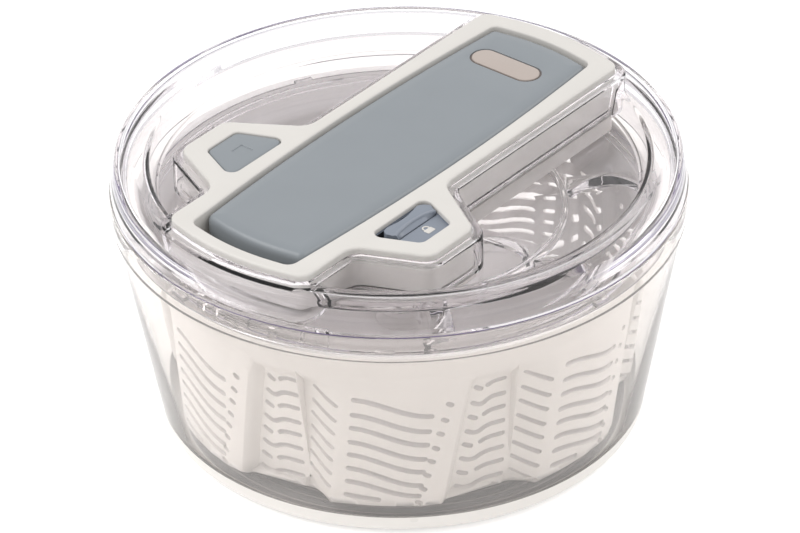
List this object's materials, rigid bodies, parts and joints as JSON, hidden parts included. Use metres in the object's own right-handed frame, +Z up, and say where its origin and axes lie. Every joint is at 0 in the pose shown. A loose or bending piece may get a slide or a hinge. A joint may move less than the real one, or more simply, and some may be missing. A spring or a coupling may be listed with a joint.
{
  "type": "salad spinner",
  "caption": "Lidded clear bowl with a slotted inner basket spun by a pump lever in the lid, with a stop button and a lever lock.",
  "frame": {"origin": "centre of the base, on the surface it stands on", "axes": "+Z up; +X along the lever from its free end to its hinge; +Y towards the stop button"},
  "size_m": [0.26, 0.26, 0.138],
  "materials": {
    "clear_bowl": "clear, moulded",
    "grip_rubber": "soft, matt",
    "steel_pin": "ground",
    "inner_plastic": "moulded",
    "basket_white": "satin",
    "clear_lid": "clear, moulded",
    "frame_white": "fine satin",
    "case_white": "fine satin",
    "screw_steel": "zinc plated",
    "spring_steel": "blued",
    "lock_grey": "satin",
    "lever_grey": "satin",
    "badge_beige": "satin",
    "dark_plastic": "moulded",
    "gear_white": "moulded",
    "clear_disc": "clear, moulded",
    "button_grey": "satin"
  },
  "bodies": {
    "bowl": {"bowl_shell": "clear_bowl", "grip_ring": "grip_rubber", "pivot_pin": "steel_pin"},
    "basket_pivot": {"pivot_bush": "inner_plastic"},
    "basket": {"basket": "basket_white"},
    "lid": {"lid_shell": "clear_lid", "top_frame": "frame_white", "gear_case": "case_white", "case_screws": "screw_steel", "hinge_pin": "steel_pin", "centre_axle": "steel_pin", "axle_circlip": "spring_steel", "first_axle": "steel_pin", "second_axle": "steel_pin", "stop_spring": "screw_steel", "return_spring": "screw_steel", "lock_plate": "lock_grey"},
    "lever": {"lever_cover": "lever_grey", "lever_badge": "badge_beige", "lever_frame": "dark_plastic", "crank_pin": "steel_pin"},
    "rack": {"drive_rack": "gear_white"},
    "first_gear": {"first_gear": "gear_white"},
    "second_gear": {"second_gear": "gear_white"},
    "clutch": {"clutch_hub": "gear_white", "clutch_rollers": "screw_steel"},
    "driver": {"driver_disc": "clear_disc"},
    "stop": {"stop_button": "button_grey", "brake_pad": "grip_rubber"},
    "lock": {"lock_slider": "lock_grey"}
  },
  "joints": [
    {"name": "lid_lift", "type": "slide", "parent": "bowl", "child": "lid", "axis": [0, 0, 1], "range_m": [0, 0.3]},
    {"name": "basket_lift", "type": "slide", "parent": "bowl", "child": "basket_pivot", "axis": [0, 0, 1], "range_m": [0, 0.15]},
    {"name": "basket_spin", "type": "hinge", "parent": "basket_pivot", "child": "basket", "pos_m": [0, 0, 0.02], "axis": [0, 0, 1], "continuous": true},
    {"name": "lever_pump", "type": "hinge", "parent": "lid", "child": "lever", "pos_m": [0.096, 0, 0.1315], "axis": [0, 1, 0], "range_deg": [0, 35]},
    {"name": "rack_slide", "type": "slide", "parent": "lid", "child": "rack", "axis": [-1, 0, 0], "range_m": [0, 0.01083]},
    {"name": "first_gear_spin", "type": "hinge", "parent": "lid", "child": "first_gear", "pos_m": [0.058, 0.005, 0.11], "axis": [0, 0, 1], "range_deg": [0, 70]},
    {"name": "second_gear_spin", "type": "hinge", "parent": "lid", "child": "second_gear", "pos_m": [0.02746, -0.01209, 0.11], "axis": [0, 0, 1], "range_deg": [-254, 0]},
    {"name": "clutch_spin", "type": "hinge", "parent": "lid", "child": "clutch", "pos_m": [0, 0, 0.1], "axis": [0, 0, 1], "range_deg": [0, 760]},
    {"name": "driver_spin", "type": "hinge", "parent": "lid", "child": "driver", "pos_m": [0, 0, 0.1], "axis": [0, 0, 1], "continuous": true},
    {"name": "stop_press", "type": "slide", "parent": "lid", "child": "stop", "axis": [0, 0, -1], "range_m": [0, 0.003], "stiffness_N_per_m": 300, "springref_m": -0.002, "deforming": ["stop_spring"]},
    {"name": "lock_slide", "type": "slide", "parent": "lid", "child": "lock", "axis": [-1, 0, 0], "range_m": [0, 0.0035]}
  ],
  "couplings": [
    {"joint": "basket_lift", "follows": "lid_lift", "ratio": 0.5},
    {"joint": "basket_spin", "follows": "driver_spin", "ratio": 1},
    {"joint": "rack_slide", "follows": "lever_pump", "m_per_rad": 0.017721},
    {"joint": "first_gear_spin", "follows": "lever_pump", "ratio": 1.969},
    {"joint": "second_gear_spin", "follows": "lever_pump", "ratio": -7.2198},
    {"joint": "clutch_spin", "follows": "lever_pump", "ratio": 21.66}
  ]
}
